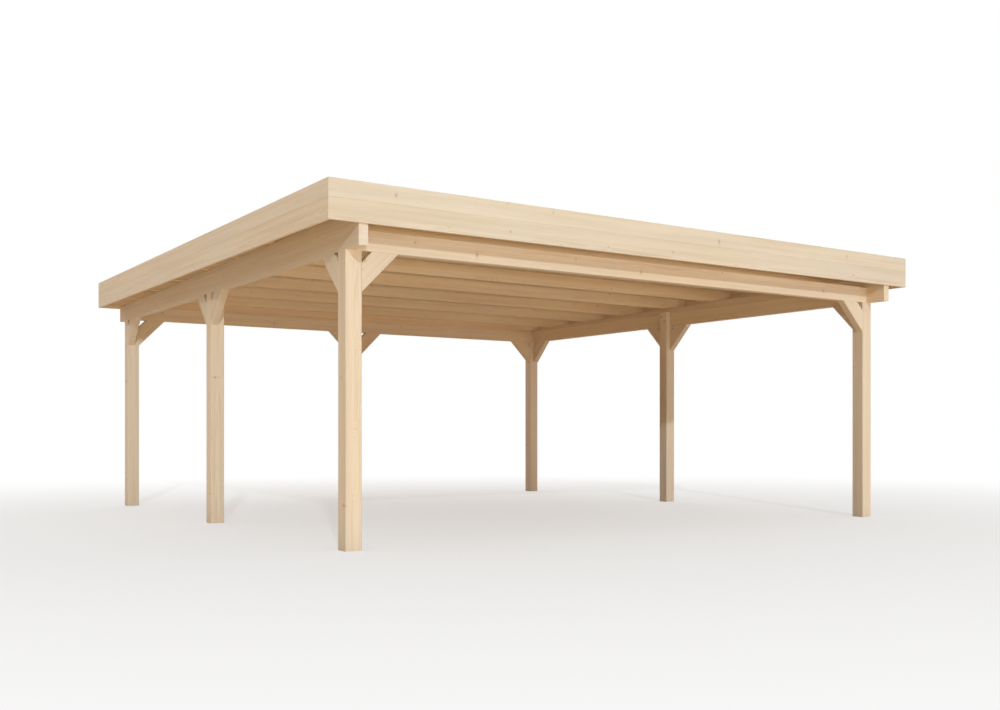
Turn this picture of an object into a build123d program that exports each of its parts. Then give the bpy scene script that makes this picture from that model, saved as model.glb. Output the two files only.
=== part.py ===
"""A flat-roofed timber carport for two cars, open on every side.

Six posts carry two purlins that run front to back and two beams that run across.
A seventh stands under the middle of the rear beam. Knee braces stiffen every corner.
A tapered strip on each purlin gives the roof its fall to the rear. Rafters lie across
the two strips, and they carry the board deck, its upstand and its membrane. A fascia
of two boards runs level and hides the fall.

Millimetres. X runs across the front to the right, Y runs to the rear, Z is up.
The origin is on the ground, under the middle of the roof.
"""
from build123d import *
import os

os.makedirs("parts", exist_ok=True)

# Posts and their spacing, centre to centre
post_side = 120
post_pitch_x = 5330
bay_pitch = 2700

# Ground to the underside of the purlins and beams
clear_height = 2018

# Purlins, beams and braces are cut from planks of one section
plank_t = 68
plank_h = 142
brace_reach = 278

# The tapered strip on each purlin: its height at mid length, how far the roof falls
# for each millimetre to the rear, and the side of the V joint between strip and plank
strip_mid_h = 60
fall = 0.015
strip_joint = 4

# Rafters, laid across the strips from one side fascia to the other
rafter_count = 9
rafter_w = 60
rafter_h = 120

# Fascia, and how far its outer face stands out from the outer faces of the posts
fascia_t = 20
fascia_lower_h = 144
fascia_upper_h = 126
overhang_x = 225
overhang_y = 215

# Deck boards, the upstand around their edge and the sealing membrane
deck_t = 20
deck_board_count = 48
deck_groove = 6
deck_clearance = 2
kerb_w = 45
kerb_drop = 6
kerb_joint = 1
membrane_t = 3

# The tongue of a post rises past the joint between the plank and its strip
tongue_rise = 18

# Planed edges
post_arris = 4
plank_arris = 3
rafter_arris = 2
fascia_arris = 2.5

# Places that follow from the sizes above
post_x = post_pitch_x / 2
frame_x = post_x + post_side / 2
frame_y = bay_pitch + post_side / 2
purlin_x = frame_x - plank_t / 2
beam_inset = (post_side - plank_t) / 2
plank_top = clear_height + plank_h
tongue_top = plank_top + tongue_rise
brace_gap = brace_reach - plank_h * 2**0.5
roof_x = 2 * (frame_x + overhang_x)
roof_y = 2 * (frame_y + overhang_y)
inner_roof_x = roof_x - 2 * fascia_t
inner_roof_y = roof_y - 2 * fascia_t
rafter_pitch = (inner_roof_y - rafter_w) / (rafter_count - 1)
fascia_bottom = plank_top
fascia_seam = fascia_bottom + fascia_lower_h
fascia_top = fascia_seam + fascia_upper_h
kerb_top = fascia_top - kerb_drop

# Heights of the layers that follow the fall, taken at the middle of the roof
rafter_bottom = plank_top + strip_mid_h
rafter_top = rafter_bottom + rafter_h
deck_top = rafter_top + deck_t


def band(y_from, y_to, lower, upper):
    """Corners, in Y and Z, of a layer that follows the fall between two heights."""
    return (
        (y_from, lower - fall * y_from),
        (y_to, lower - fall * y_to),
        (y_to, upper - fall * y_to),
        (y_from, upper - fall * y_from),
    )


def wedge(y_from, y_to, sloping, level):
    """Corners, in Y and Z, of a wedge between a line that follows the fall and a level one."""
    return (
        (y_from, sloping - fall * y_from),
        (y_to, sloping - fall * y_to),
        (y_to, level),
        (y_from, level),
    )


def make_post(label, x_side, y_side):
    """A post with its foot on the ground and its head cut to seat the purlin and the beam."""
    x = x_side * post_x
    y = y_side * bay_pitch
    with BuildPart() as post:
        with BuildSketch(Plane.XY):
            with Locations((x, y)):
                Rectangle(post_side, post_side)
        extrude(amount=tongue_top)
        chamfer(post.edges().filter_by(Axis.Z), length=post_arris)
        with BuildSketch(Plane.XY.offset(clear_height)):
            if x_side != 0:
                with Locations((x_side * purlin_x, y)):
                    Rectangle(plank_t, post_side)
            if y_side != 0:
                with Locations((x, y - beam_inset)):
                    Rectangle(post_side, plank_t)
        extrude(amount=tongue_top - clear_height, mode=Mode.SUBTRACT)
    post.part.label = label
    export_step(post.part, f"parts/{label}.step")


def make_purlin(label, x_side):
    """A plank on edge along one side with its tapered strip, from fascia to fascia."""
    outline = wedge(-inner_roof_y / 2, inner_roof_y / 2, rafter_bottom, clear_height)
    with BuildPart() as purlin:
        with BuildSketch(Plane.YZ.offset(x_side * purlin_x)):
            with BuildLine():
                Polyline(*outline, close=True)
            make_face()
        extrude(amount=plank_t / 2, both=True)
        long_edges = purlin.edges().filter_by(lambda edge: edge.length > roof_y / 2)
        chamfer(long_edges, length=plank_arris)
        # The joint between the plank and the strip, on both faces
        with BuildSketch(Plane.XZ):
            with Locations((x_side * frame_x, plank_top), (x_side * (frame_x - plank_t), plank_top)):
                Rectangle(strip_joint, strip_joint, rotation=45)
        extrude(amount=inner_roof_y / 2, both=True, mode=Mode.SUBTRACT)
    purlin.part.label = label
    export_step(purlin.part, f"parts/{label}.step")


def make_beam(label, y_side):
    """A plank on edge between the two purlins, flush with the front of the posts that carry it."""
    with BuildPart() as beam:
        with BuildSketch(Plane.YZ):
            with Locations((y_side * bay_pitch - beam_inset, clear_height + plank_h / 2)):
                Rectangle(plank_t, plank_h)
        extrude(amount=purlin_x - plank_t / 2, both=True)
        chamfer(beam.edges().filter_by(Axis.X), length=plank_arris)
    beam.part.label = label
    export_step(beam.part, f"parts/{label}.step")


def make_brace(label, plane, away):
    """A strut at 45 degrees under a beam or a purlin.

    The plane stands at mid thickness with its origin where the post meets the underside
    and its y up. The strut goes away from the post along the plane's x, or against it.
    """
    with BuildPart() as brace:
        with BuildSketch(plane):
            with BuildLine():
                Polyline(
                    (0, -brace_gap),
                    (0, -brace_reach),
                    (away * brace_reach, 0),
                    (away * brace_gap, 0),
                    close=True,
                )
            make_face()
        extrude(amount=plank_t / 2, both=True)
        sloping_edges = brace.edges().filter_by(lambda edge: 0.5 < abs((edge % 0.5).Z) < 0.9)
        chamfer(sloping_edges, length=plank_arris)
    brace.part.label = label
    export_step(brace.part, f"parts/{label}.step")


def make_rafter(label, y):
    """A rafter across the roof, whose lower and upper faces are planed to the fall."""
    outline = band(y - rafter_w / 2, y + rafter_w / 2, rafter_bottom, rafter_top)
    with BuildPart() as rafter:
        with BuildSketch(Plane.YZ):
            with BuildLine():
                Polyline(*outline, close=True)
            make_face()
        extrude(amount=inner_roof_x / 2, both=True)
        chamfer(rafter.edges().filter_by(Axis.X), length=rafter_arris)
    rafter.part.label = label
    export_step(rafter.part, f"parts/{label}.step")


def make_fascia(label, plane, length, bottom, height):
    """A board with mitred ends, whose outer long edges are bevelled so that the seam shows."""
    with BuildPart() as board:
        with BuildSketch(plane.offset(bottom)):
            with BuildLine():
                Polyline(
                    (-length / 2, 0),
                    (length / 2, 0),
                    (length / 2 - fascia_t, fascia_t),
                    (-length / 2 + fascia_t, fascia_t),
                    close=True,
                )
            make_face()
        extrude(amount=height)
        outer_edges = board.edges().sort_by(SortBy.LENGTH)[-2:]
        chamfer(outer_edges, length=fascia_arris)
    board.part.label = label
    export_step(board.part, f"parts/{label}.step")


for x_side, x_name in ((-1, "left"), (1, "right")):
    for y_side, y_name in ((-1, "front"), (0, "middle"), (1, "rear")):
        make_post(f"post_{y_name}_{x_name}", x_side, y_side)
    make_purlin(f"purlin_{x_name}", x_side)
make_post("post_rear_centre", 0, 1)

for y_side, y_name in ((-1, "front"), (1, "rear")):
    make_beam(f"beam_{y_name}", y_side)

# Braces under the beams, in line with them: one from each corner post and two from the rear centre one
beam_braces = (
    ("front_left", -1, -1, 1),
    ("front_right", 1, -1, -1),
    ("rear_left", -1, 1, 1),
    ("rear_centre_left", 0, 1, -1),
    ("rear_centre_right", 0, 1, 1),
    ("rear_right", 1, 1, -1),
)
for name, x_side, y_side, away in beam_braces:
    corner = (x_side * post_x + away * post_side / 2, y_side * bay_pitch - beam_inset, clear_height)
    across = Plane(origin=corner, x_dir=(1, 0, 0), z_dir=(0, -1, 0))
    make_brace(f"brace_beam_{name}", across, away)

# Braces under the purlins: one from each corner post and two from each middle post
purlin_braces = ((-1, 1, "front"), (0, -1, "mid_front"), (0, 1, "mid_rear"), (1, -1, "rear"))
for x_side, x_name in ((-1, "left"), (1, "right")):
    for y_side, away, y_name in purlin_braces:
        corner = (x_side * purlin_x, y_side * bay_pitch + away * post_side / 2, clear_height)
        along = Plane(origin=corner, x_dir=(0, 1, 0), z_dir=(1, 0, 0))
        make_brace(f"brace_purlin_{y_name}_{x_name}", along, away)

for number in range(rafter_count):
    make_rafter(f"rafter_{number + 1}", (rafter_w - inner_roof_y) / 2 + number * rafter_pitch)

# Planes of the four edges of the roof, with x along the edge and y towards the middle
front_edge = Plane(origin=(0, -roof_y / 2, 0), x_dir=(1, 0, 0), z_dir=(0, 0, 1))
rear_edge = Plane(origin=(0, roof_y / 2, 0), x_dir=(-1, 0, 0), z_dir=(0, 0, 1))
left_edge = Plane(origin=(-roof_x / 2, 0, 0), x_dir=(0, -1, 0), z_dir=(0, 0, 1))
right_edge = Plane(origin=(roof_x / 2, 0, 0), x_dir=(0, 1, 0), z_dir=(0, 0, 1))
edges_of_roof = (
    ("front", front_edge, roof_x),
    ("rear", rear_edge, roof_x),
    ("left", left_edge, roof_y),
    ("right", right_edge, roof_y),
)
for name, plane, length in edges_of_roof:
    make_fascia(f"fascia_lower_{name}", plane, length, fascia_bottom, fascia_lower_h)
    make_fascia(f"fascia_upper_{name}", plane, length, fascia_seam, fascia_upper_h)

deck_x = inner_roof_x - 2 * deck_clearance
deck_y = inner_roof_y - 2 * deck_clearance
deck_board_w = deck_x / deck_board_count
with BuildPart() as roof_deck:
    with BuildSketch(Plane.YZ):
        with BuildLine():
            Polyline(*band(-deck_y / 2, deck_y / 2, rafter_top, deck_top), close=True)
        make_face()
    extrude(amount=deck_x / 2, both=True)
    # V joints between the deck boards, seen from below
    down_the_fall = Plane(origin=(0, 0, rafter_top), x_dir=(1, 0, 0), z_dir=(0, -1, fall))
    with BuildSketch(down_the_fall):
        with GridLocations(deck_board_w, 1, deck_board_count - 1, 1):
            Rectangle(deck_groove, deck_groove, rotation=45)
    extrude(amount=roof_y / 2, both=True, mode=Mode.SUBTRACT)
roof_deck.part.label = "roof_deck"
export_step(roof_deck.part, "parts/roof_deck.step")

# Four battens behind the upper fascia, level on top and cut to the fall below: the front
# and rear ones run from side to side, and the two between them meet them at open joints
tray_x = inner_roof_x - 2 * kerb_w
tray_y = inner_roof_y - 2 * kerb_w
side_kerb_end = tray_y / 2 - kerb_joint
with BuildPart() as roof_kerb:
    for y_from, y_to in ((-inner_roof_y / 2, -tray_y / 2), (tray_y / 2, inner_roof_y / 2)):
        with BuildSketch(Plane.YZ):
            with BuildLine():
                Polyline(*wedge(y_from, y_to, deck_top, kerb_top), close=True)
            make_face()
        extrude(amount=inner_roof_x / 2, both=True)
    for x_side in (-1, 1):
        with BuildSketch(Plane.YZ.offset(x_side * (tray_x + kerb_w) / 2)):
            with BuildLine():
                Polyline(*wedge(-side_kerb_end, side_kerb_end, deck_top, kerb_top), close=True)
            make_face()
        extrude(amount=kerb_w / 2, both=True)
roof_kerb.part.label = "roof_kerb"
export_step(roof_kerb.part, "parts/roof_kerb.step")

with BuildPart() as roof_membrane:
    # The sheet lies on the deck, turns up the kerbs and laps over them to the fascia
    with BuildSketch(Plane.YZ):
        with BuildLine():
            Polyline(*wedge(-tray_y / 2, tray_y / 2, deck_top, kerb_top), close=True)
        make_face()
    extrude(amount=tray_x / 2, both=True)
    with BuildSketch(Plane.XY.offset(kerb_top)):
        Rectangle(inner_roof_x, inner_roof_y)
    extrude(amount=membrane_t)
    inside_y = tray_y / 2 - membrane_t
    tray_room = wedge(-inside_y, inside_y, deck_top + membrane_t, kerb_top + membrane_t)
    with BuildSketch(Plane.YZ):
        with BuildLine():
            Polyline(*tray_room, close=True)
        make_face()
    extrude(amount=tray_x / 2 - membrane_t, both=True, mode=Mode.SUBTRACT)
roof_membrane.part.label = "roof_membrane"
export_step(roof_membrane.part, "parts/roof_membrane.step")
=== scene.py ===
import math
import random

import bmesh
import bpy
from mathutils import Matrix, Vector, noise


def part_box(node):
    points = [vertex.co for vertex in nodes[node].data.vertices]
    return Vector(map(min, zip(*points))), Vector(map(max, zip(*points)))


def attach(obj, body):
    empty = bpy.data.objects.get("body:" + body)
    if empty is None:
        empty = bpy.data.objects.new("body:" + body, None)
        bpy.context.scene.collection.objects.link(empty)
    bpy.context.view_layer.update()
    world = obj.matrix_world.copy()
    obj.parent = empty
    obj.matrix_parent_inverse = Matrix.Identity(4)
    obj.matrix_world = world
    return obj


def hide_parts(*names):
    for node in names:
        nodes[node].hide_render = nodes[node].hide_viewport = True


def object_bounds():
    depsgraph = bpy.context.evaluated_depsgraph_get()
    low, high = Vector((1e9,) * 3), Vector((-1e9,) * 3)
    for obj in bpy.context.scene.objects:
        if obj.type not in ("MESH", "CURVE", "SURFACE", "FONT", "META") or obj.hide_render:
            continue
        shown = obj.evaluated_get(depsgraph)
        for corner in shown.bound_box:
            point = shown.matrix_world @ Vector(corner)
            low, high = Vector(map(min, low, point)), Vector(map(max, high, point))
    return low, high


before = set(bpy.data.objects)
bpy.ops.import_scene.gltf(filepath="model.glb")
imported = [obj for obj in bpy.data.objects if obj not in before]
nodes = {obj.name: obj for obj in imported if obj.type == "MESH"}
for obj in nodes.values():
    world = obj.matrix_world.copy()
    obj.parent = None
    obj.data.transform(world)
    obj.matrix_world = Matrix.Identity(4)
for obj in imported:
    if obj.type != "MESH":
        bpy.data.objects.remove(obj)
cad_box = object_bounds()

# Camera, solved from the posts and the roof edges of the photograph (metres, radians, pixels)
IMAGE_W = 1000
IMAGE_H = 710
FOCAL_PX = 1083.6
HORIZON_PX = 432.5
CAMERA_PLACE = (-5.874, -9.337, 0.795)
CAMERA_TURN = 0.588
SENSOR_MM = 36.0

# Light: a low sun from the front left, a sky that is brighter overhead, a wide lamp near the
# floor in front, which shines in under the roof, and one behind
SUN_TRAVEL = Vector((0.43, 1.0, -0.41))
SUN_STRENGTH = 0.93
SUN_SPREAD = math.radians(1.2)
SUN_COLOUR = (0.80, 0.98, 1.08)
SKY_STRENGTH = 0.72
SKY_COLOUR = (1.0, 0.965, 0.93)
FRONT_LAMP = {
    "place": (0.0, -13.5, 0.3), "size": (18.0, 0.6), "watts": 440.0, "colour": (1.0, 0.96, 0.89),
}
REAR_LAMP = {
    "place": (4.0, 13.0, 4.5), "size": (14.0, 5.0), "watts": 520.0, "colour": (1.0, 1.0, 1.0),
}

# Colours, linear. Some pieces have a tint of their own, which multiplies the colour of the wood and
# paints light and shade on them: warm shade under the roof, more light on some posts, the front
# beam and the left fascia, and a greyer sunlit front fascia
WHITE = (1.0, 1.0, 1.0)
EARLYWOOD = (0.815, 0.685, 0.54)
LATEWOOD = (0.62, 0.42, 0.24)
KNOT_RIM = (0.34, 0.17, 0.08)
KNOT_HEART = (0.50, 0.29, 0.15)
# Painted warm shade, stronger and milder: the golden bounce light under the roof
PAINTED_WARM_SHADE = (1.0, 0.94, 0.81)
PAINTED_MILD_WARM_SHADE = (1.0, 0.95, 0.86)
# Painted light, which makes a piece look more lit
PAINTED_LIGHT = (1.07, 1.07, 1.07)
# Painted sunlit grey: the paler, greyer look of a face in the sun
PAINTED_SUNLIT_GREY = (0.92, 0.955, 0.99)
PAINTED_LIGHT_TINTS = {
    "rafter": PAINTED_WARM_SHADE, "roof_deck": PAINTED_WARM_SHADE,
    "beam_rear": PAINTED_MILD_WARM_SHADE, "brace_beam_rear": PAINTED_MILD_WARM_SHADE, "purlin_right": PAINTED_MILD_WARM_SHADE,
    "post_middle": PAINTED_LIGHT, "post_rear": PAINTED_LIGHT, "beam_front": PAINTED_LIGHT,
    "fascia_lower_left": PAINTED_LIGHT, "fascia_upper_left": PAINTED_LIGHT,
    "fascia_lower_front": PAINTED_SUNLIT_GREY, "fascia_upper_front": PAINTED_SUNLIT_GREY,
}
END_GRAIN = (1.0, 1.03, 1.10)
WARM_PATCH = (0.99, 0.955, 0.91)
RUBBER = (0.036, 0.037, 0.039)
RUBBER_DUST = (0.11, 0.11, 0.105)
YELLOW_ZINC = (0.64, 0.53, 0.36)
FLOOR_PALE = (0.92, 0.915, 0.905)
FLOOR_GLOW = 0.45
FLOOR_BOUNCE = (1.0, 0.82, 0.57)
FLOOR_BOUNCE_BEHIND = (0.70, 0.52, 0.38)
# Painted shade: under the roof the floor throws back little light
FLOOR_BOUNCE_PAINTED_SHADE_UNDER_ROOF = (0.25, 0.15, 0.06)

# Figure of the wood and reach of the floor's fades (metres)
RING_WIDTH = 0.0048
KNOT_SPACING = 0.30
KNOT_RADIUS = (-0.0185, 0.0075)
KNOT_EDGE = 0.0025
KNOT_HALO = 0.018
FLOOR_HALF = 60.0
FLOOR_WHITE = (4.5, 11.0)
BEHIND = (2.5, 3.2)

ACROSS = Vector((1.0, 0.0, 0.0))
ALONG = Vector((0.0, 1.0, 0.0))
UP = Vector((0.0, 0.0, 1.0))


def make_camera():
    data = bpy.data.cameras.new("camera")
    data.sensor_width = SENSOR_MM
    data.lens = FOCAL_PX / IMAGE_W * SENSOR_MM
    data.shift_y = (HORIZON_PX - IMAGE_H / 2) / IMAGE_W
    data.clip_end = 200.0
    camera = bpy.data.objects.new("camera", data)
    camera.location = CAMERA_PLACE
    camera.rotation_euler = (math.pi / 2, 0.0, -CAMERA_TURN)
    bpy.context.scene.collection.objects.link(camera)
    bpy.context.scene.camera = camera


class Nodes:
    """A short way to write a material's nodes: each call adds a node and returns its output."""

    def __init__(self, tree):
        self.tree = tree

    def add(self, kind, inputs=(), **settings):
        node = self.tree.nodes.new(kind)
        for name, value in settings.items():
            setattr(node, name, value)
        for name, value in dict(inputs).items():
            socket = node.inputs[name]
            if isinstance(value, bpy.types.NodeSocket):
                self.tree.links.new(value, socket)
            else:
                socket.default_value = value
        return node

    def math(self, operation, first, second=0.0, third=0.0):
        inputs = {0: first, 1: second}
        if operation == "MULTIPLY_ADD":
            inputs[2] = third
        return self.add("ShaderNodeMath", inputs, operation=operation).outputs[0]

    def product(self, first, *others):
        for other in others:
            first = self.math("MULTIPLY", first, other)
        return first

    def vector(self, operation, first, second):
        node = self.add("ShaderNodeVectorMath", {0: first, 1: second}, operation=operation)
        return node.outputs[0]

    def scaled(self, point, scale):
        return self.vector("MULTIPLY", point, scale)

    def length(self, point):
        return self.add("ShaderNodeVectorMath", {0: point}, operation="LENGTH").outputs["Value"]

    def parts(self, point):
        return self.add("ShaderNodeSeparateXYZ", {0: point}).outputs

    def noise(self, point, scale=1.0, detail=2.0, roughness=0.5):
        inputs = {"Vector": point, "Scale": scale, "Detail": detail, "Roughness": roughness}
        return self.add("ShaderNodeTexNoise", inputs)

    def ramp(self, value, low, high, out_low=0.0, out_high=1.0):
        """Eases from one level to another while a value goes from low to high."""
        inputs = {
            "Value": value,
            "From Min": low, "From Max": high, "To Min": out_low, "To Max": out_high,
        }
        return self.add("ShaderNodeMapRange", inputs, interpolation_type="SMOOTHSTEP").outputs[0]

    def grey(self, value):
        return self.add("ShaderNodeCombineColor", {0: value, 1: value, 2: value}).outputs[0]

    def mix(self, factor, first, second, blend="MIX"):
        """Mixes two colours, each a socket or a tuple."""
        node = self.add("ShaderNodeMix", data_type="RGBA", blend_type=blend)
        sockets = (node.inputs[0], node.inputs[6], node.inputs[7])
        for socket, value in zip(sockets, (factor, first, second)):
            if isinstance(value, bpy.types.NodeSocket):
                self.tree.links.new(value, socket)
            elif isinstance(value, tuple):
                socket.default_value = (*value, 1.0)
            else:
                socket.default_value = value
        return node.outputs[2]

    def multiplied(self, colour, factor):
        return self.mix(1.0, colour, factor, "MULTIPLY")

    def looked_at(self):
        """1 for rays from the camera, a mirror or a window, and 0 for light on its way."""
        ray = self.add("ShaderNodeLightPath").outputs
        mirrored = self.math("MAXIMUM", ray["Is Glossy Ray"], ray["Is Transmission Ray"])
        return self.math("MAXIMUM", ray["Is Camera Ray"], mirrored)

    def principled(self, colour, rough, normal, specular):
        shader = self.add("ShaderNodeBsdfPrincipled", {
            "Base Color": colour, "Roughness": rough, "Normal": normal,
            "Specular IOR Level": specular,
        })
        self.add("ShaderNodeOutputMaterial", {"Surface": shader.outputs["BSDF"]})


def new_material(name):
    material = bpy.data.materials.new(name)
    material.use_nodes = True
    material.node_tree.nodes.clear()
    return material, Nodes(material.node_tree)


def board_place(make, place, first_edge, width):
    """Cuts each board of a deck from a log of its own. Returns the board's lot too."""
    x, y, z = make.parts(place)
    number = make.math("FLOOR", make.math("DIVIDE", make.math("SUBTRACT", x, first_edge), width))
    middle = make.math("MULTIPLY_ADD", number, width, first_edge + width / 2)
    aside = make.math("SUBTRACT", x, middle)
    inside = make.add("ShaderNodeCombineXYZ", {0: aside, 1: y, 2: z}).outputs[0]
    white_noise = make.add("ShaderNodeTexWhiteNoise", {"W": number}, noise_dimensions="1D")
    lot = white_noise.outputs["Color"]
    log_step = make.scaled(lot, (0.10, 30.0, 0.10))
    return make.vector("ADD", inside, log_step), make.parts(lot)[0]


def strip_place(make, place, seam):
    """Cuts what lies over a seam from another log. Returns whether a point is over it, 0 or 1."""
    over = make.math("GREATER_THAN", make.parts(place)[2], seam)
    log_step = make.add("ShaderNodeVectorMath", {0: (0.06, 11.0, 0.05), 3: over}, operation="SCALE")
    return make.vector("ADD", place, log_step.outputs[0]), over


def knots(make, log, pith_angle):
    """Branches that grow straight out of the pith, cut by the surface. Returns how far a point is
    inside one, below 0 when it is outside, and how far from the branch's middle."""
    unturned = make.add("ShaderNodeVectorRotate", {"Vector": log, "Angle": -pith_angle},
                        rotation_type="Z_AXIS")
    out_x, out_y, up_log = make.parts(unturned.outputs[0])
    around = make.product(make.math("ARCTAN2", out_y, out_x), 0.10)
    branch_map = make.add("ShaderNodeCombineXYZ", {0: around, 1: up_log}).outputs[0]
    inputs = {"Vector": branch_map, "Scale": 1.0 / KNOT_SPACING, "Randomness": 1.0}
    branch = make.add("ShaderNodeTexVoronoi", inputs, voronoi_dimensions="2D").outputs
    branch_far = make.product(branch["Distance"], KNOT_SPACING)
    branch_size = make.add("ShaderNodeSeparateColor", {"Color": branch["Color"]}).outputs[0]
    smallest, largest = KNOT_RADIUS
    radius = make.math("MULTIPLY_ADD", branch_size, largest - smallest, smallest)
    return make.math("SUBTRACT", radius, branch_far), branch_far


def latewood(make, log, branch_far):
    """The dark half of the rings, which bend round the knots and wander along the log."""
    wander = make.noise(make.scaled(log, (2.5, 2.5, 0.45)), detail=3.0).outputs["Color"]
    off_middle = make.vector("SUBTRACT", wander, (0.5, 0.5, 0.5))
    bend = make.scaled(off_middle, (0.05, 0.05, 0.0))
    flat = make.scaled(make.vector("ADD", log, bend), (1.0, 1.0, 0.0))
    bulge = make.ramp(branch_far, 0.0, 0.05, 0.010, 0.0)
    from_pith = make.math("ADD", make.length(flat), bulge)
    uneven = make.noise(make.scaled(flat, (30.0, 30.0, 1.0)), detail=1.0).outputs["Fac"]
    phase = make.math("MULTIPLY_ADD", from_pith, 1.0 / RING_WIDTH, make.product(uneven, 1.6))
    share = make.math("FRACT", phase)
    return make.product(make.ramp(share, 0.35, 0.92), make.ramp(share, 0.93, 1.0, 1.0, 0.0))


def spruce(name, grain, centre, seed, boards=None, seam=None, painted_light_tint=WHITE):
    """Planed spruce cut out of a log: rings round a pith line along the grain, knots, streaks."""
    rng = random.Random(seed)
    material, make = new_material(name)
    turn = grain.rotation_difference(UP)
    angle = rng.uniform(0.0, 2 * math.pi)
    pith = Vector((math.cos(angle), math.sin(angle), 0.0)) * rng.uniform(0.05, 0.11)
    shift = pith + Vector((0.0, 0.0, rng.uniform(0.0, 40.0))) - turn @ centre
    coordinates = make.add("ShaderNodeTexCoord").outputs
    place = coordinates["Object"]
    board_tone = 1.0
    if boards:
        place, lot = board_place(make, place, *boards)
        board_tone = make.ramp(lot, 0.0, 1.0, 0.90, 1.06)
    if seam:
        place, over = strip_place(make, place, seam)
        # The strip over the seam is made 7 % darker than the plank below it
        board_tone = make.ramp(over, 0.0, 1.0, 1.0, 0.93)
    inputs = {"Vector": place, "Location": shift, "Rotation": turn.to_euler()}
    log = make.add("ShaderNodeMapping", inputs).outputs["Vector"]

    inside_knot, branch_far = knots(make, log, angle)
    late = latewood(make, log, branch_far)
    fibre = make.noise(make.scaled(log, (420.0, 420.0, 9.0)), detail=2.0).outputs["Fac"]
    streak = make.noise(make.scaled(log, (30.0, 30.0, 0.6)), detail=3.0).outputs["Fac"]
    broad = make.noise(make.scaled(log, (3.0, 3.0, 0.5)), detail=2.0).outputs["Fac"]

    late_strength = make.ramp(streak, 0.3, 0.7, 0.14, 0.36)
    colour = make.mix(make.product(late, late_strength), EARLYWOOD, LATEWOOD)
    warmth = make.mix(make.ramp(broad, 0.35, 0.65), WHITE, WARM_PATCH)
    colour = make.multiplied(colour, warmth)
    streaks = make.ramp(streak, 0.25, 0.75, 1.03, 0.945)
    fibres = make.ramp(fibre, 0.2, 0.8, 1.03, 0.97)
    shade = make.product(streaks, fibres, rng.uniform(0.97, 1.02), board_tone)
    colour = make.multiplied(colour, make.grey(shade))
    # The piece's tint: painted light on some pieces, painted warm shade on others
    if painted_light_tint != WHITE:
        colour = make.multiplied(colour, painted_light_tint)
    halo = make.ramp(inside_knot, -KNOT_HALO, 0.0, 0.0, 0.30)
    colour = make.mix(halo, colour, LATEWOOD)
    knot = make.ramp(inside_knot, -KNOT_EDGE, KNOT_EDGE, 0.0, 0.55)
    heart = make.ramp(inside_knot, 0.0002, 0.0040)
    colour = make.mix(knot, colour, make.mix(heart, KNOT_RIM, KNOT_HEART))

    # Sawn ends are paler and rougher than the planed faces
    inputs = {0: coordinates["Normal"], 1: grain}
    facing = make.add("ShaderNodeVectorMath", inputs, operation="DOT_PRODUCT").outputs["Value"]
    end = make.ramp(make.math("ABSOLUTE", facing), 0.80, 0.95)
    colour = make.mix(end, colour, make.multiplied(colour, END_GRAIN))

    relief = make.math("MULTIPLY_ADD", fibre, 0.6, make.product(late, 0.5))
    bump = make.add("ShaderNodeBump", {"Height": relief, "Strength": 0.25, "Distance": 0.0006})
    polish = make.math("ADD", fibre, make.product(late, -0.3))
    rough = make.math("MULTIPLY_ADD", end, 0.12, make.ramp(polish, 0.1, 0.9, 0.62, 0.78))
    make.principled(colour, rough, bump.outputs["Normal"], 0.35)
    return material


def rubber(first_edge, strip):
    """Matte roofing sheet in strips across the fall: patches of dust, clean seams, pebbled skin."""
    material, make = new_material("rubber")
    place = make.add("ShaderNodeTexCoord").outputs["Object"]
    drift_place = make.scaled(place, (0.7, 0.7, 2.0))
    drift = make.noise(drift_place, detail=5.0, roughness=0.6).outputs["Fac"]
    specks = make.noise(place, 160.0, detail=3.0).outputs["Fac"]
    pebbles = make.noise(place, 900.0, detail=1.0).outputs["Fac"]
    dust = make.product(make.ramp(drift, 0.38, 0.72), make.ramp(specks, 0.3, 0.7, 0.25, 0.75))
    share = make.math("DIVIDE", make.math("SUBTRACT", make.parts(place)[1], first_edge), strip)
    number = make.math("FLOOR", share)
    past_edge = make.product(make.math("SUBTRACT", share, number), strip)
    lot = make.add("ShaderNodeTexWhiteNoise", {"W": number}, noise_dimensions="1D").outputs["Value"]
    before_band_end = make.ramp(past_edge, LAP, LAP + 0.01, 1.0, 0.0)
    primed = make.product(make.ramp(past_edge, 0.0, 0.004), before_band_end)
    settled = make.ramp(past_edge, LAP + 0.01, LAP + 0.30, 0.35, 0.0)
    dust = make.math("MULTIPLY_ADD", dust, make.ramp(primed, 0.0, 1.0, 1.0, 0.15), settled)
    colour = make.mix(dust, RUBBER, RUBBER_DUST)
    colour = make.multiplied(colour, make.grey(make.ramp(lot, 0.0, 1.0, 0.86, 1.14)))
    colour = make.multiplied(colour, make.grey(make.ramp(primed, 0.0, 1.0, 1.0, 0.72)))
    rough = make.ramp(dust, 0.0, 0.7, 0.76, 0.88)
    bump = make.add("ShaderNodeBump", {"Height": pebbles, "Strength": 0.3, "Distance": 0.0004})
    make.principled(colour, rough, bump.outputs["Normal"], 0.25)
    return material


def yellow_zinc():
    """Yellow passivated zinc plate with a faint cloud in its colour."""
    material, make = new_material("yellow_zinc")
    place = make.add("ShaderNodeTexCoord").outputs["Object"]
    cloud = make.noise(place, 260.0, detail=3.0).outputs["Fac"]
    darker = tuple(0.8 * part for part in YELLOW_ZINC)
    colour = make.mix(make.ramp(cloud, 0.3, 0.7), YELLOW_ZINC, darker)
    rough = make.ramp(cloud, 0.2, 0.8, 0.38, 0.55)
    inputs = {"Base Color": colour, "Roughness": rough, "Metallic": 0.55}
    shader = make.add("ShaderNodeBsdfPrincipled", inputs)
    make.add("ShaderNodeOutputMaterial", {"Surface": shader.outputs["BSDF"]})
    return material


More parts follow.
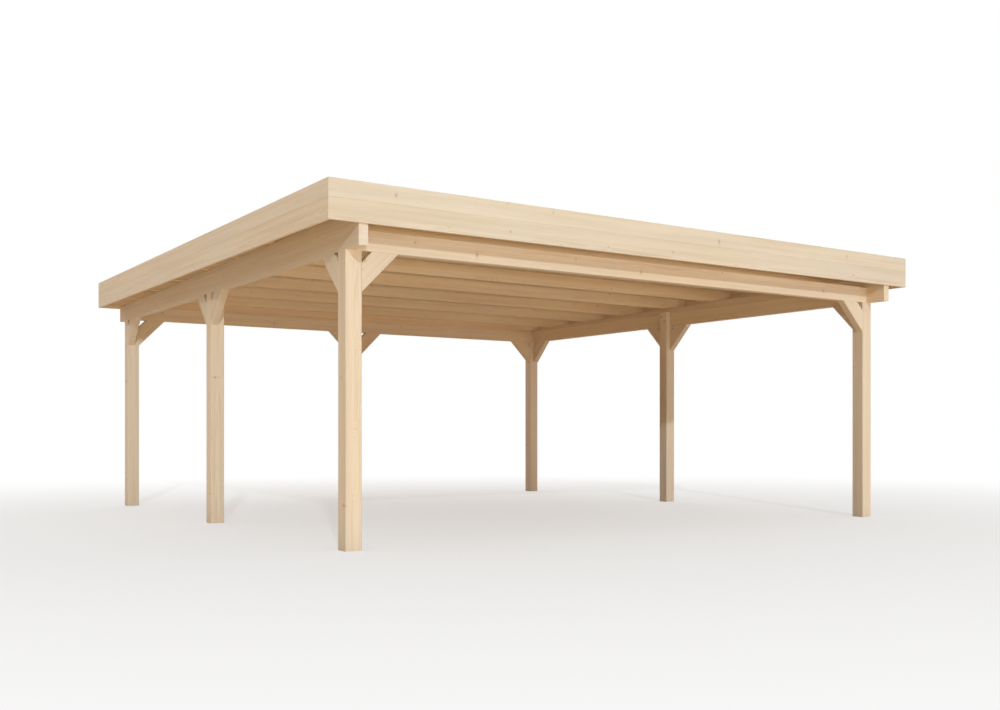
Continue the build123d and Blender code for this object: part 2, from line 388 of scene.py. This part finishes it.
def dress(node, material):
    """Gives a CAD node its finish, in place of the ones it came with."""
    mesh = nodes[node].data
    mesh.materials.clear()
    mesh.materials.append(material)


def corners(node):
    low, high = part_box(node)
    return Vector(low), Vector(high)


def middle_of(node):
    low, high = corners(node)
    return (low + high) / 2


def brace_grain(node):
    """The slope of a brace, which falls towards its post."""
    if "beam" in node:
        rises_to_right = node.endswith("left") != ("centre" in node)
        return Vector((1.0 if rises_to_right else -1.0, 0.0, 1.0)).normalized()
    rises_to_rear = "mid_rear" in node or "purlin_front" in node
    return Vector((0.0, 1.0 if rises_to_rear else -1.0, 1.0)).normalized()


def grain_of(node):
    if node.startswith("post"):
        return UP
    if node.startswith("brace"):
        return brace_grain(node)
    if node.startswith(("purlin", "roof")) or node.endswith(("_left", "_right")):
        return ALONG
    return ACROSS


# The deck's boards, and the height at which a purlin's plank ends and its tapered strip starts
DECK_BOARDS = 48
PLANK_TOP = 2.160


def dress_timber():
    """Gives every piece of timber its own log, which keeps to the order of the names."""
    for seed, node in enumerate(sorted(nodes)):
        if node == "roof_membrane":
            continue
        boards = None
        seam = PLANK_TOP if node.startswith("purlin") else None
        if node == "roof_deck":
            low, high = corners(node)
            boards = (low.x, (high.x - low.x) / DECK_BOARDS)
        # The piece's tint of painted light and shade, where it has one
        painted_light_tint = next((PAINTED_LIGHT_TINTS[start] for start in PAINTED_LIGHT_TINTS if node.startswith(start)), WHITE)
        wood = spruce(f"spruce_{node}", grain_of(node), middle_of(node), seed, boards, seam, painted_light_tint)
        dress(node, wood)


def add_piece(name, mesh, material):
    """Puts a finished mesh into the scene as a piece that belongs to the carport."""
    mesh.materials.append(material)
    piece = bpy.data.objects.new(name, mesh)
    bpy.context.scene.collection.objects.link(piece)
    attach(piece, "root")
    return piece


def mesh_of(shape, name, smooth_angle=35.0):
    """Turns a bmesh into a mesh that is shaded smooth apart from its sharp edges."""
    bmesh.ops.recalc_face_normals(shape, faces=shape.faces)
    mesh = bpy.data.meshes.new(name)
    shape.to_mesh(mesh)
    shape.free()
    mesh.shade_smooth()
    mesh.set_sharp_from_angle(angle=math.radians(smooth_angle))
    return mesh


def smooth_step(value):
    value = min(max(value, 0.0), 1.0)
    return value * value * (3.0 - 2.0 * value)


# The roofing sheet: strips that lap over each other, with a bead of sealant along each edge, and
# edge strips that climb the kerbs (metres; FALL is a slope)
FALL = 0.015
KERB_W = 0.045
SHEET_T = 0.0022
LAP = 0.075
LAP_END = 0.018
STRIPS = 4
BEAD_W = 0.009
BEAD_H = 0.0022
GRID = 0.030
FLAP = 0.095
COVE = 0.008
NOSE = 0.004
BUCKLES = 26
UPSTAND_STEPS = 110
EAR_FOOT = 0.010


def grid_lines(low, high, step, extra=()):
    """Even lines from low to high, with the extra ones in place of those too near to them."""
    count = max(2, round((high - low) / step))
    lines = [low + (high - low) * index / count for index in range(count + 1)]
    keep = [line for line in lines if all(abs(line - other) > step * 0.4 for other in extra)]
    return sorted(keep + list(extra))


def lap_height(past_edge):
    """Height over the lower strip at a distance past the edge of the upper one."""
    if past_edge <= -BEAD_W:
        return 0.0
    if past_edge < 0.0:
        return BEAD_H * math.sqrt(max(0.0, 1.0 - (2.0 * past_edge / BEAD_W + 1.0) ** 2))
    return SHEET_T * 0.8 * (1.0 - smooth_step((past_edge - LAP) / LAP_END))


def make_buckles(rng, low, high):
    """Low ridges that a loosely laid sheet keeps: centre, run, half length, half width, height."""
    buckles = []
    for _ in range(BUCKLES):
        centre = Vector((rng.uniform(low.x, high.x), rng.uniform(low.y, high.y), 0.0))
        angle = rng.gauss(math.pi / 2, 0.5)
        run = Vector((math.cos(angle), math.sin(angle), 0.0))
        half_length = rng.uniform(0.15, 0.55)
        half_width = rng.uniform(0.022, 0.045)
        buckles.append((centre, run, half_length, half_width, rng.uniform(0.0008, 0.0026)))
    return buckles


def field_height(x, y, edges, buckles):
    height = SHEET_T + 0.0006 * (1.0 + noise.noise(Vector((x * 0.9, y * 0.9, 3.0))))
    height += max(lap_height(y - edge) for edge in edges)
    spot = Vector((x, y, 0.0))
    for centre, run, half_length, half_width, rise in buckles:
        away = spot - centre
        along = away.dot(run)
        if abs(along) < half_length * 1.3:
            aside = away.x * run.y - away.y * run.x - 0.02 * math.sin(along * 7.0)
            fade = 1.0 - smooth_step(abs(along) / half_length / 1.3)
            height += rise * math.exp(-(aside / half_width) ** 2) * fade
    return height


def deck_height(y, low, high):
    """The deck falls to the rear, where it is lowest."""
    return low.z + FALL * (high.y - y)


def join_rows(shape, rows):
    """Adds a face between each four neighbours of a grid of vertices."""
    for lower, upper in zip(rows, rows[1:]):
        for index in range(len(lower) - 1):
            shape.faces.new((lower[index], lower[index + 1], upper[index + 1], upper[index]))


def add_field(shape, low, high, rng):
    """The four strips that lie on the deck."""
    strip = (high.y - low.y) / STRIPS
    edges = [low.y + strip * index for index in range(1, STRIPS)]
    fine = [share * BEAD_W for share in (-1.0, -0.8, -0.5, -0.2)] + [0.0, 0.0004]
    fine += [LAP, LAP + 0.006, LAP + 0.012, LAP + LAP_END]
    extra = [edge + step for edge in edges for step in fine]
    buckles = make_buckles(rng, low, high)
    rows = []
    for y in grid_lines(low.y, high.y, GRID, extra):
        row = []
        for x in grid_lines(low.x, high.x, GRID):
            height = deck_height(y, low, high) + field_height(x, y, edges, buckles)
            row.append(shape.verts.new((x, y, height)))
        rows.append(row)
    join_rows(shape, rows)


def upstand_profile():
    """Outline of an edge strip: distance in from the kerb's face, height over the deck or over the
    kerb, and which of the two, 0 or 1."""
    points = [
        (FLAP, SHEET_T * 0.6, 0), (FLAP - 0.0008, 2.1 * SHEET_T, 0), (FLAP * 0.6, 2.2 * SHEET_T, 0),
    ]
    for step in range(7):
        angle = math.pi / 2 * step / 6
        inset = SHEET_T + COVE * (1 - math.sin(angle))
        points.append((inset, 2.2 * SHEET_T + COVE * (1 - math.cos(angle)), 0))
    for step in range(5):
        angle = math.pi / 2 * step / 4
        inset = SHEET_T - NOSE * (1 - math.cos(angle))
        points.append((inset, SHEET_T - NOSE * (1 - math.sin(angle)), 1))
    points.append((-KERB_W * 0.6, SHEET_T, 1))
    points.append((-KERB_W, SHEET_T, 1))
    return points


def add_upstand(shape, low, high, kerb_top):
    """Sweeps the edge strip round the four kerbs, with mitred corners and slight waves."""
    profile = upstand_profile()
    signs = ((-1, -1), (1, -1), (1, 1), (-1, 1))
    half = (high - low) / 2
    centre = (high + low) / 2
    for side in range(4):
        start, end = signs[side], signs[(side + 1) % 4]
        inward = Vector((-(start[0] + end[0]) / 2, -(start[1] + end[1]) / 2, 0.0))
        rows = []
        for step in range(UPSTAND_STEPS + 1):
            share = step / UPSTAND_STEPS
            row = []
            for index, (inset, height, over_kerb) in enumerate(profile):
                reach_x, reach_y = half.x - inset, half.y - inset
                first, last = (
                    Vector((centre.x + x_sign * reach_x, centre.y + y_sign * reach_y, 0.0))
                    for x_sign, y_sign in (start, end)
                )
                spot = first.lerp(last, share)
                calm = smooth_step(min(share, 1 - share) * 12.0)
                wave = noise.noise(Vector((spot.x * 5.0, spot.y * 5.0, height * 9.0 + side)))
                if 4 < index < len(profile) - 3:
                    spot += inward * calm * 0.0006 * (1.0 + wave)
                if index in (1, 2):
                    height += calm * 0.0007 * (1.0 + wave)
                seat = kerb_top if over_kerb else deck_height(spot.y, low, high)
                row.append(shape.verts.new((spot.x, spot.y, seat + height)))
            rows.append(row)
        join_rows(shape, rows)


def add_corner_ears(shape, low, high, kerb_top):
    """The surplus of the sheet, folded flat against the side kerbs in each corner."""
    fold_t = 2.2 * SHEET_T
    for x_side in (-1, 1):
        for y_side in (-1, 1):
            corner_x = high.x if x_side > 0 else low.x
            corner_y = high.y if y_side > 0 else low.y
            seat = deck_height(corner_y, low, high)
            top = kerb_top - seat - 0.004
            reach = top * 0.93
            wall = corner_x - x_side * SHEET_T
            foot = corner_y - y_side * 2 * SHEET_T
            outline = [(0.0, EAR_FOOT), (0.0, top), (reach, top)]
            for step in range(1, 8):
                share = step / 8
                bow = 0.004 * math.sin(math.pi * share)
                outline.append((reach * (1 - share) + bow, top - (top - EAR_FOOT) * share - bow))
            inner = []
            outer = []
            for away, height in outline:
                y = foot - y_side * away
                inner.append(shape.verts.new((wall, y, seat + height)))
                swell = fold_t * (0.7 + 0.3 * min(1.0, away / 0.03))
                outer.append(shape.verts.new((wall - x_side * swell, y, seat + height)))
            shape.faces.new(outer)
            for index in range(len(outline)):
                after = (index + 1) % len(outline)
                shape.faces.new((inner[index], inner[after], outer[after], outer[index]))


def make_membrane():
    """The roofing sheet in full, in place of the plain one."""
    low, high = corners("roof_membrane")
    kerb_top = corners("roof_kerb")[1].z
    tray_low = low + Vector((KERB_W, KERB_W, 0.0))
    tray_high = high - Vector((KERB_W, KERB_W, 0.0))
    shape = bmesh.new()
    add_field(shape, tray_low, tray_high, random.Random(41))
    add_upstand(shape, tray_low, tray_high, kerb_top)
    add_corner_ears(shape, tray_low, tray_high, kerb_top)
    finish = rubber(tray_low.y, (tray_high.y - tray_low.y) / STRIPS)
    piece = add_piece("membrane", mesh_of(shape, "membrane"), finish)
    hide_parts("roof_membrane")


def add_turned(shape, place, sections, segments):
    """Adds a closed turned form round Z, from radii and heights that run from seat to middle."""
    rings = []
    for radius, height in sections:
        ring = []
        for index in range(segments):
            angle = 2 * math.pi * index / segments
            far = radius(angle) if callable(radius) else radius
            point = Vector((far * math.cos(angle), far * math.sin(angle), height))
            ring.append(shape.verts.new(place @ point))
        rings.append(ring)
    for lower, upper in zip(rings, rings[1:]):
        for index in range(segments):
            after = (index + 1) % segments
            shape.faces.new((lower[index], lower[after], upper[after], upper[index]))
    shape.faces.new(rings[-1])
    shape.faces.new(list(reversed(rings[0])))


def star_socket(radius, depth):
    """Radius of a six-lobed recess at an angle."""
    return lambda angle: radius * (1.0 + depth * math.cos(6 * angle))


def head_place(spot, facing, spin):
    turn = facing.to_track_quat("Z", "Y").to_matrix().to_4x4()
    return Matrix.Translation(spot) @ turn @ Matrix.Rotation(spin, 4, "Z")


def add_screw(shape, spot, facing, spin):
    """A countersunk head, nearly flush, with a star recess."""
    sections = (
        (0.0046, -0.0020), (0.0050, 0.0), (0.0048, 0.0004), (star_socket(0.0026, 0.16), 0.0005),
        (star_socket(0.0023, 0.16), -0.0014),
    )
    add_turned(shape, head_place(spot, facing, spin), sections, 24)


def hexagon(across_flats):
    """Radius of a hexagon at an angle."""
    def radius(angle):
        return across_flats / 2 / math.cos((angle + math.pi / 6) % (math.pi / 3) - math.pi / 6)
    return radius


def add_coach_screw(shape, spot, facing, spin):
    """A hexagon head on a round washer."""
    place = head_place(spot, facing, spin)
    washer = ((0.0138, -0.0005), (0.0138, 0.0018), (0.0134, 0.0022), (0.0080, 0.0022))
    head = (
        (hexagon(0.016), 0.0015), (hexagon(0.016), 0.0072), (hexagon(0.0150), 0.0082),
        (0.0068, 0.0086),
    )
    add_turned(shape, place, washer, 36)
    add_turned(shape, place, head, 36)


def make_brace_screws(metal):
    """Two screws through the sloping underside at each end of a brace."""
    rng = random.Random(7)
    shape = bmesh.new()
    end_distance = 0.052
    half_gauge = 0.016
    for node in sorted(nodes):
        if not node.startswith("brace"):
            continue
        low, high = corners(node)
        middle = middle_of(node)
        rise = brace_grain(node)
        aside = ALONG if "beam" in node else ACROSS
        down = Vector((rise.x, rise.y, 0.0)).normalized() - UP
        down.normalize()
        reach = (high.z - low.z) * math.sqrt(2.0)
        # The underside runs through two corners of the brace's box, so their middles are the same
        for end in (-1, 1):
            for side in (-1, 1):
                along = rise * end * (reach / 2 - end_distance)
                spot = middle + along + aside * side * half_gauge
                add_screw(shape, spot, down, rng.uniform(0.0, math.pi))
    add_piece("brace_screws", mesh_of(shape, "brace_screws", 30.0), metal)


def make_head_screws(metal):
    """Two coach screws through the tongue of every side post's head into the purlin."""
    rng = random.Random(8)
    shape = bmesh.new()
    for side in ("left", "right"):
        seat = corners(f"purlin_{side}")[0].z
        for row in ("front", "middle", "rear"):
            low, high = corners(f"post_{row}_{side}")
            inner_x = high.x if side == "left" else low.x
            facing = ACROSS if side == "left" else -ACROSS
            tongue = high.z - seat
            if row == "middle":
                spread = ((-0.028, 0.32), (0.028, 0.68))
                y_middle = (low.y + high.y) / 2
            else:
                spread = ((0.0, 0.30), (0.0, 0.70))
                y_middle = (corners(f"beam_{row}")[1].y + high.y) / 2
            for aside, share in spread:
                spot = Vector((inner_x, y_middle + aside, seat + share * tongue))
                add_coach_screw(shape, spot, facing, rng.uniform(0.0, math.pi / 3))
    add_piece("head_screws", mesh_of(shape, "head_screws", 30.0), metal)


def make_stage():
    """A pale floor that keeps the shadow and throws back warm light, less from under the roof,
    where its dark colour for light is painted shade.
    """
    mesh = bpy.data.meshes.new("floor")
    signs = ((-1, -1), (1, -1), (1, 1), (-1, 1))
    outline = [(x_sign * FLOOR_HALF, y_sign * FLOOR_HALF, 0.0) for x_sign, y_sign in signs]
    mesh.from_pydata(outline, [], [(0, 1, 2, 3)])
    floor = bpy.data.objects.new("floor", mesh)
    bpy.context.scene.collection.objects.link(floor)
    material, make = new_material("floor")
    seen = make.looked_at()
    place = make.add("ShaderNodeTexCoord").outputs["Object"]
    x, y, _ = make.parts(place)
    half = (cad_box[1] - cad_box[0]) / 2
    beyond_x = make.math("DIVIDE", make.math("ABSOLUTE", x), half.x)
    beyond_y = make.math("DIVIDE", make.math("ABSOLUTE", y), half.y)
    outside = make.ramp(make.math("MAXIMUM", beyond_x, beyond_y), 0.85, 1.05)
    behind = make.math("MAXIMUM", make.ramp(x, *BEHIND), make.ramp(y, *BEHIND))
    around_roof = make.mix(behind, FLOOR_BOUNCE, FLOOR_BOUNCE_BEHIND)
    bounce = make.mix(outside, FLOOR_BOUNCE_PAINTED_SHADE_UNDER_ROOF, around_roof)
    floor_colour = make.mix(seen, bounce, FLOOR_PALE)
    matte = make.add("ShaderNodeBsdfDiffuse", {"Color": floor_colour}).outputs[0]
    fade = make.product(make.ramp(make.length(place), *FLOOR_WHITE, FLOOR_GLOW, 1.0), seen)
    white = make.add("ShaderNodeEmission", {"Color": (*WHITE, 1.0), "Strength": 1.0}).outputs[0]
    surface = make.add("ShaderNodeMixShader", {0: fade, 1: matte, 2: white}).outputs[0]
    make.add("ShaderNodeOutputMaterial", {"Surface": surface})
    mesh.materials.append(material)


def add_lamp(name, facing, place, size, watts, colour):
    """A wide lamp that lights the carport but doesn't show."""
    data = bpy.data.lights.new(name, "AREA")
    data.shape = "RECTANGLE"
    data.size, data.size_y = size
    data.energy = watts
    data.color = colour
    lamp = bpy.data.objects.new(name, data)
    lamp.location = place
    lamp.rotation_euler = facing.to_track_quat("-Z", "Y").to_euler()
    lamp.visible_camera = False
    bpy.context.scene.collection.objects.link(lamp)
    return lamp


def make_light():
    data = bpy.data.lights.new("sun", "SUN")
    data.energy = SUN_STRENGTH
    data.angle = SUN_SPREAD
    data.color = SUN_COLOUR
    sun = bpy.data.objects.new("sun", data)
    sun.rotation_euler = SUN_TRAVEL.to_track_quat("-Z", "Y").to_euler()
    bpy.context.scene.collection.objects.link(sun)

    add_lamp("front_lamp", ALONG, **FRONT_LAMP)
    rear_lamp = add_lamp("rear_lamp", -Vector(REAR_LAMP["place"]), **REAR_LAMP)
    rear_lamp.visible_glossy = False

    world = bpy.data.worlds.new("sky")
    bpy.context.scene.world = world
    world.use_nodes = True
    world.node_tree.nodes.clear()
    make = Nodes(world.node_tree)
    rise = make.parts(make.add("ShaderNodeTexCoord").outputs["Generated"])[2]
    level = make.ramp(rise, 0.0, 0.5, 0.0, SKY_STRENGTH)
    sky_inputs = {"Color": (*SKY_COLOUR, 1.0), "Strength": level}
    sky = make.add("ShaderNodeBackground", sky_inputs).outputs[0]
    white = make.add("ShaderNodeBackground", {"Color": (*WHITE, 1.0), "Strength": 1.0}).outputs[0]
    surface = make.add("ShaderNodeMixShader", {0: make.looked_at(), 1: sky, 2: white}).outputs[0]
    make.add("ShaderNodeOutputWorld", {"Surface": surface})


make_camera()
dress_timber()
make_membrane()
zinc = yellow_zinc()
make_brace_screws(zinc)
make_head_screws(zinc)
make_stage()
make_light()
bpy.context.scene.view_settings.view_transform = "Standard"
